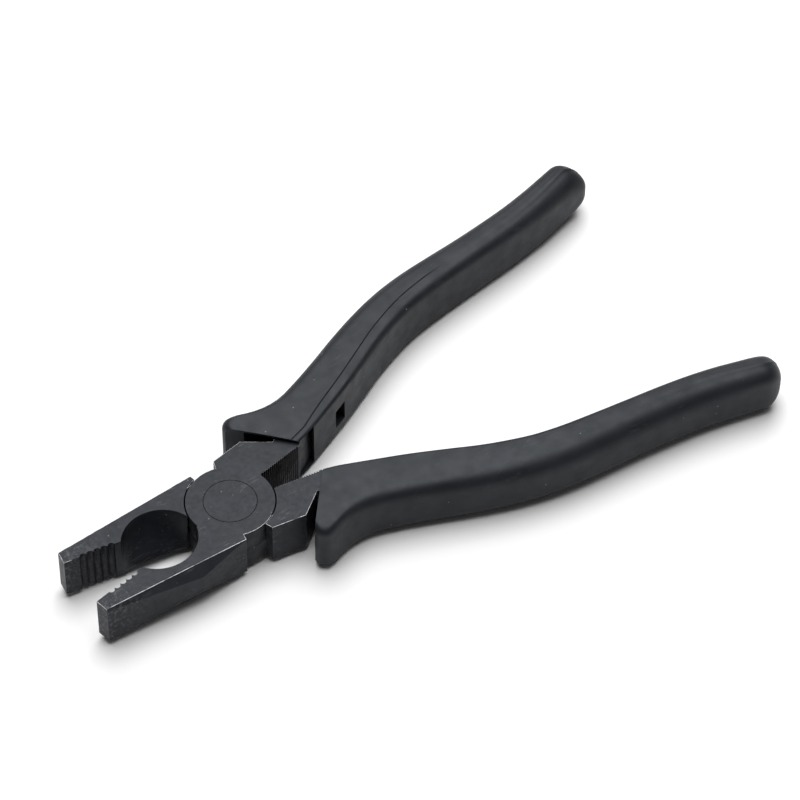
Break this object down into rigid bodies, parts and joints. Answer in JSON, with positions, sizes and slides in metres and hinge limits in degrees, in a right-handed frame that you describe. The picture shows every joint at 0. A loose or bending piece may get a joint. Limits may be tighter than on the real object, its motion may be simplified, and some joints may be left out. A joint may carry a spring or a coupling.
{
  "type": "flat-nose hand pliers",
  "caption": "Two-lever steel pliers with fluted flat jaws, a round throat ground to a cutting edge, a flush-riveted half-lap joint, toothed necks and S-shaped moulded plastic grips.",
  "frame": {"origin": "on the rivet's axis, at the underside of the joint", "axes": "+Z along the rivet's axis, up out of the joint's upper face; +X from the rivet towards the jaws along the middle of the open levers; +Y to the left looking along +X"},
  "size_m": [0.1979, 0.1, 0.0168],
  "materials": {
    "lever_steel": "black-oxide forging, satin, worn bright along the sharp edges",
    "rivet_steel": "black oxide, dressed flush, satin",
    "grip_plastic": "moulded, finely matt"
  },
  "bodies": {
    "root": {"upper_lever": "lever_steel", "pivot_rivet": "rivet_steel", "upper_lever_grip": "grip_plastic"},
    "lower_half": {"lower_lever": "lever_steel", "lower_lever_grip": "grip_plastic"}
  },
  "joints": [
    {"name": "lever_pivot", "type": "hinge", "parent": "root", "child": "lower_half", "pos_m": [0, 0, 0.0066], "axis": [0, 0, -1], "range_deg": [-18.68, 28]}
  ]
}
